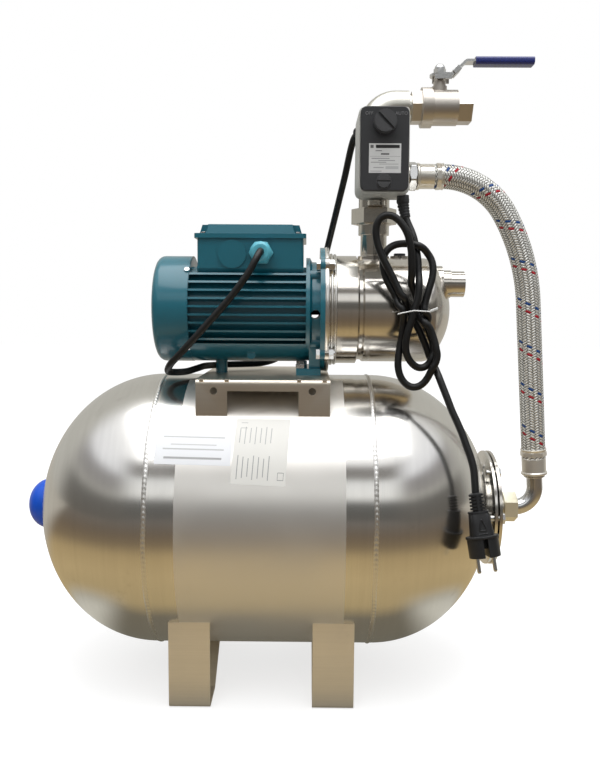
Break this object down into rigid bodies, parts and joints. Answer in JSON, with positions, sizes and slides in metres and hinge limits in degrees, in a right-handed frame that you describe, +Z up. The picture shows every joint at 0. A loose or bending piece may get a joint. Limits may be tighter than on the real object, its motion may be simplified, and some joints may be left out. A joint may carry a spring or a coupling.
{
  "type": "booster pump",
  "caption": "Booster pump set: self-priming pump and motor on a horizontal pressure tank, with pressure switch, ball valve, braided hose and plug-in lead.",
  "frame": {"origin": "on the floor, in the middle of the four foot holes and under the middle of the tank", "axes": "+Z up, +X from the motor towards the pump and the tank's connection, +Y away from the side with the pressure switch"},
  "size_m": [0.7111, 0.3624, 0.8158],
  "materials": {
    "tank_steel": "satin brushed stainless steel",
    "foot_steel": "satin stainless sheet",
    "pump_steel": "spun and polished stainless steel",
    "fitting_steel": "bright nickelled fittings",
    "valve_steel": "cast stainless steel, fine blasted",
    "zinc": "bright zinc plate",
    "braid": "stainless wire braid with thin coloured tracers",
    "teal_paint": "gloss teal enamel",
    "gland_plastic": "pale teal moulded plastic",
    "black_plastic": "fine-textured black moulding",
    "grey_plastic": "fine-textured grey moulding",
    "cable_rubber": "black rubber sheath",
    "seal_rubber": "black rubber",
    "membrane_rubber": "moulded butyl rubber",
    "blue_plastic": "gloss blue moulding",
    "blue_vinyl": "dipped blue vinyl",
    "shaft_steel": "ground steel",
    "laminations": "stacked electrical steel with aluminium cage",
    "windings": "varnished copper windings",
    "pale_plastic": "ivory moulding",
    "noryl": "glass-filled moulding",
    "white_seal": "white sealing plastic",
    "brass": "turned brass",
    "capacitor_can": "drawn can"
  },
  "bodies": {
    "root": {"tank_shell": "tank_steel", "tank_end_left": "tank_steel", "tank_end_right": "tank_steel", "tank_membrane": "membrane_rubber", "mouth_cover": "pump_steel", "mouth_bolts": "zinc", "air_valve_stem": "brass", "foot_left": "foot_steel", "foot_right": "foot_steel", "pump_bracket": "pump_steel", "motor_housing": "teal_paint", "rear_shield": "teal_paint", "fan_cover": "teal_paint", "cover_screws": "zinc", "stator": "windings", "bearings": "shaft_steel", "lantern": "teal_paint", "pump_bolts": "zinc", "terminal_box": "teal_paint", "box_lid": "teal_paint", "terminal_block": "pale_plastic", "capacitor": "capacitor_can", "cable_glands": "gland_plastic", "pump_casing": "pump_steel", "seal_plate": "pump_steel", "pump_seals": "seal_rubber", "diffuser": "noryl", "priming_plug": "black_plastic", "union_tail": "fitting_steel", "union_nut": "fitting_steel", "manifold": "fitting_steel", "outlet_elbow": "valve_steel", "valve_body": "valve_steel", "valve_end": "valve_steel", "valve_seats": "white_seal", "switch_housing": "grey_plastic", "switch_cover": "black_plastic", "switch_works": "pale_plastic", "hose_end_upper": "fitting_steel", "braided_hose": "braid", "hose_end_lower": "fitting_steel", "hose_nut": "fitting_steel", "motor_cable": "cable_rubber", "mains_cord": "cable_rubber", "cord_hank": "cable_rubber", "mains_plug": "black_plastic", "plug_pins": "zinc"},
    "rotor": {"motor_shaft": "shaft_steel", "rotor_core": "laminations", "cooling_fan": "pale_plastic", "impeller": "noryl"},
    "lever": {"valve_lever": "zinc", "lever_sleeve": "blue_vinyl", "valve_stem": "zinc", "stem_nut": "zinc", "valve_ball": "shaft_steel"},
    "lock": {"lock_slide": "zinc"},
    "knob": {"switch_knob": "black_plastic"},
    "cap": {"air_valve_cap": "blue_plastic"},
    "pin": {"air_valve_pin": "brass"}
  },
  "joints": [
    {"name": "rotor_spin", "type": "hinge", "parent": "root", "child": "rotor", "pos_m": [0, 0, 0.4883], "axis": [1, 0, 0], "continuous": true},
    {"name": "lever_turn", "type": "hinge", "parent": "root", "child": "lever", "pos_m": [0.224, 0, 0.79], "axis": [0, 0, -1], "range_deg": [0, 90]},
    {"name": "lock_move", "type": "slide", "parent": "lever", "child": "lock", "axis": [0.7071, 0, 0.7071], "range_m": [0, 0.008]},
    {"name": "knob_turn", "type": "hinge", "parent": "root", "child": "knob", "pos_m": [0.1445, -0.1, 0.7118], "axis": [0, 1, 0], "range_deg": [0, 90]},
    {"name": "cap_pull", "type": "slide", "parent": "root", "child": "cap", "axis": [-1, 0, 0], "range_m": [0, 0.04]},
    {"name": "pin_press", "type": "slide", "parent": "root", "child": "pin", "axis": [1, 0, 0], "range_m": [0, 0.0015], "stiffness_N_per_m": 200}
  ]
}
